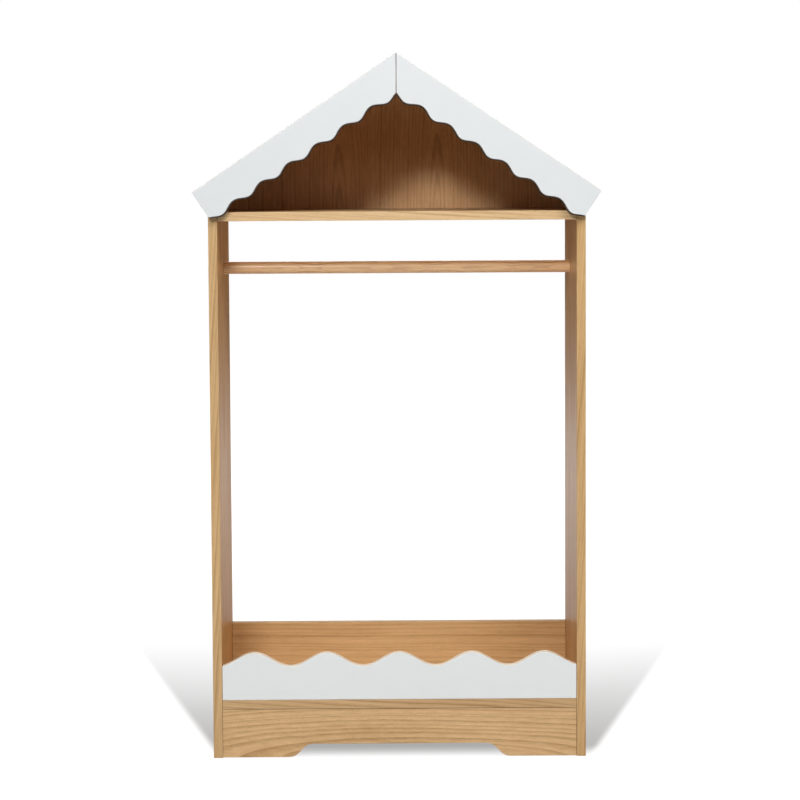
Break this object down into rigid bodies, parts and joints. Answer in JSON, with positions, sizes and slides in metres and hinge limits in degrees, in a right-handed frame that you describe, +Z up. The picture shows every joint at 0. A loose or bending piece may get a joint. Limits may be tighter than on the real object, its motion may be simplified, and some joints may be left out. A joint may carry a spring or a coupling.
{
  "type": "kids wardrobe",
  "caption": "Open house-shaped wardrobe for a child, with scalloped white fascias, a hanging rail, an upper shelf and a base tray behind a wavy guard.",
  "frame": {"origin": "on the floor, at the middle of the footprint", "axes": "+Z up, +X to the right as seen from the front, +Y from the front to the rear"},
  "size_m": [0.804, 0.358, 1.3999],
  "materials": {
    "laminate": "satin wood-print laminate on board",
    "edge_band": "satin wood-print band",
    "white_lacquer": "satin white lacquer on board",
    "rail_timber": "clear satin oil on solid timber",
    "dowel_wood": "raw fluted wood",
    "cast_zinc": "dull cast zinc",
    "zinc_steel": "bright zinc plate",
    "cap_plastic": "satin moulded plastic"
  },
  "bodies": {
    "root": {"back_board": "laminate", "back_board_cam_bolts": "zinc_steel", "back_board_cam_caps": "cap_plastic", "back_board_cam_locks": "cast_zinc", "back_board_dowels": "dowel_wood", "back_board_edge_band": "edge_band", "back_board_screws": "zinc_steel", "base_shelf": "laminate", "base_shelf_cam_bolts": "zinc_steel", "base_shelf_cam_locks": "cast_zinc", "base_shelf_dowels": "dowel_wood", "base_shelf_edge_band": "edge_band", "bracket_screws": "zinc_steel", "eave_brackets": "zinc_steel", "fascia_brackets": "zinc_steel", "fascia_dowels": "dowel_wood", "front_plinth": "laminate", "front_plinth_cam_bolts": "zinc_steel", "front_plinth_cam_locks": "cast_zinc", "front_plinth_dowels": "dowel_wood", "gable_back": "laminate", "gable_back_dowels": "dowel_wood", "hanging_rail": "rail_timber", "left_fascia": "white_lacquer", "left_front_edge_band": "edge_band", "left_rear_edge_band": "edge_band", "left_roof_board": "laminate", "left_roof_eave_band": "edge_band", "left_roof_rear_band": "edge_band", "left_side_panel": "laminate", "rail_bolts": "zinc_steel", "rail_inserts": "zinc_steel", "ridge_brackets": "zinc_steel", "right_fascia": "white_lacquer", "right_front_edge_band": "edge_band", "right_rear_edge_band": "edge_band", "right_roof_board": "laminate", "right_roof_eave_band": "edge_band", "right_roof_rear_band": "edge_band", "right_side_panel": "laminate", "upper_shelf": "laminate", "upper_shelf_cam_bolts": "zinc_steel", "upper_shelf_cam_caps": "cap_plastic", "upper_shelf_cam_locks": "cast_zinc", "upper_shelf_dowels": "dowel_wood", "upper_shelf_edge_band": "edge_band", "wave_guard": "white_lacquer", "wave_guard_dowels": "dowel_wood", "wave_guard_screws": "zinc_steel"}
  },
  "joints": []
}
